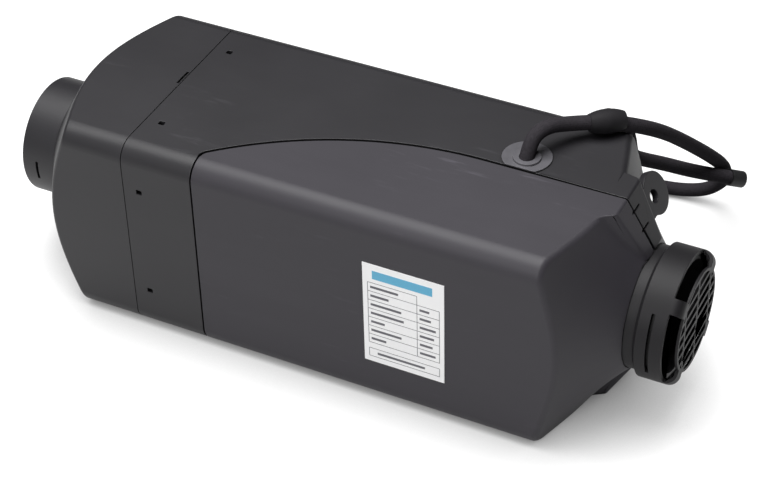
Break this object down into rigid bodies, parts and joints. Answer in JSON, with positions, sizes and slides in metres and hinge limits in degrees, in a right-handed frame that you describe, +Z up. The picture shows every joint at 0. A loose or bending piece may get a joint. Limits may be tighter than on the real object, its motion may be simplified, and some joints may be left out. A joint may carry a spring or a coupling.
{
  "type": "diesel air heater",
  "caption": "Small diesel air heater: box-shaped plastic housing with a duct spigot, a louvred inlet guard, a lift-off cover, a mounting foot with exhaust and air stubs, and its wiring.",
  "frame": {"origin": "on the resting face, below the middle of the housing's length and of its depth", "axes": "+X along the air path from the hot-air spigot to the cold inlet, +Y out of the mounting foot, +Z up as the heater lies on its side"},
  "size_m": [0.3666, 0.2253, 0.1308],
  "materials": {
    "housing_plastic": "satin charcoal, finely scuffed",
    "guard_plastic": "satin",
    "label_sheet": "bare white sticker",
    "black_rubber": "matte",
    "lead_sleeve": "satin black sleeve",
    "plug_plastic": "satin",
    "cast_aluminium": "as cast",
    "burner_steel": "heat tinted",
    "bright_steel": "zinc plated",
    "gasket_fibre": "matte fibre",
    "fan_plastic": "satin",
    "blower_alloy": "die cast",
    "motor_steel": "zinc grey",
    "bush_bronze": "sintered",
    "magnet_ferrite": "dull",
    "armature_iron": "lacquered",
    "unit_plastic": "moulded",
    "circuit_board": "solder mask"
  },
  "bodies": {
    "heater": {"lower_shell": "housing_plastic", "inlet_nozzle": "guard_plastic", "cable_grommet": "black_rubber", "blank_grommet": "black_rubber", "heat_exchanger": "cast_aluminium", "burner_head": "burner_steel", "burner_tube": "burner_steel", "burner_screws": "bright_steel", "glow_plug": "bright_steel", "glow_plug_seal": "black_rubber", "glow_plug_screen": "burner_steel", "overheat_sensor": "bright_steel", "sensor_clip": "bright_steel", "exhaust_stub": "cast_aluminium", "combustion_air_stub": "cast_aluminium", "flange_gasket": "gasket_fibre", "flange_studs": "bright_steel", "fuel_pipe": "bright_steel", "fuel_pipe_grommet": "black_rubber", "blower_gasket": "gasket_fibre", "blower_cover": "blower_alloy", "blower_housing": "blower_alloy", "blower_screws": "bright_steel", "motor_can": "motor_steel", "motor_bushes": "bush_bronze", "stator_magnets": "magnet_ferrite", "control_unit_case": "unit_plastic", "control_unit_cover": "unit_plastic", "control_unit_board": "circuit_board", "control_unit_screws": "bright_steel", "main_lead": "lead_sleeve", "supply_lead": "lead_sleeve", "harness_splitter": "black_rubber", "main_connector": "plug_plastic", "supply_plug": "plug_plastic"},
    "rotor": {"rotor_shaft": "bright_steel", "armature": "armature_iron", "combustion_wheel": "blower_alloy", "fan_wheel": "fan_plastic"},
    "cover": {"upper_shell": "housing_plastic", "type_label": "label_sheet"},
    "guard": {"inlet_guard": "guard_plastic"},
    "hood": {"outlet_hood": "housing_plastic"}
  },
  "joints": [
    {"name": "rotor_spin", "type": "hinge", "parent": "heater", "child": "rotor", "pos_m": [0.1, 0, 0.0575], "axis": [1, 0, 0], "continuous": true},
    {"name": "cover_lift", "type": "slide", "parent": "heater", "child": "cover", "axis": [0, -1, 0], "range_m": [0, 0.12]},
    {"name": "guard_pull", "type": "slide", "parent": "heater", "child": "guard", "axis": [1, 0, 0], "range_m": [0, 0.04]},
    {"name": "hood_pull", "type": "slide", "parent": "heater", "child": "hood", "axis": [-1, 0, 0], "range_m": [0, 0.06]}
  ]
}
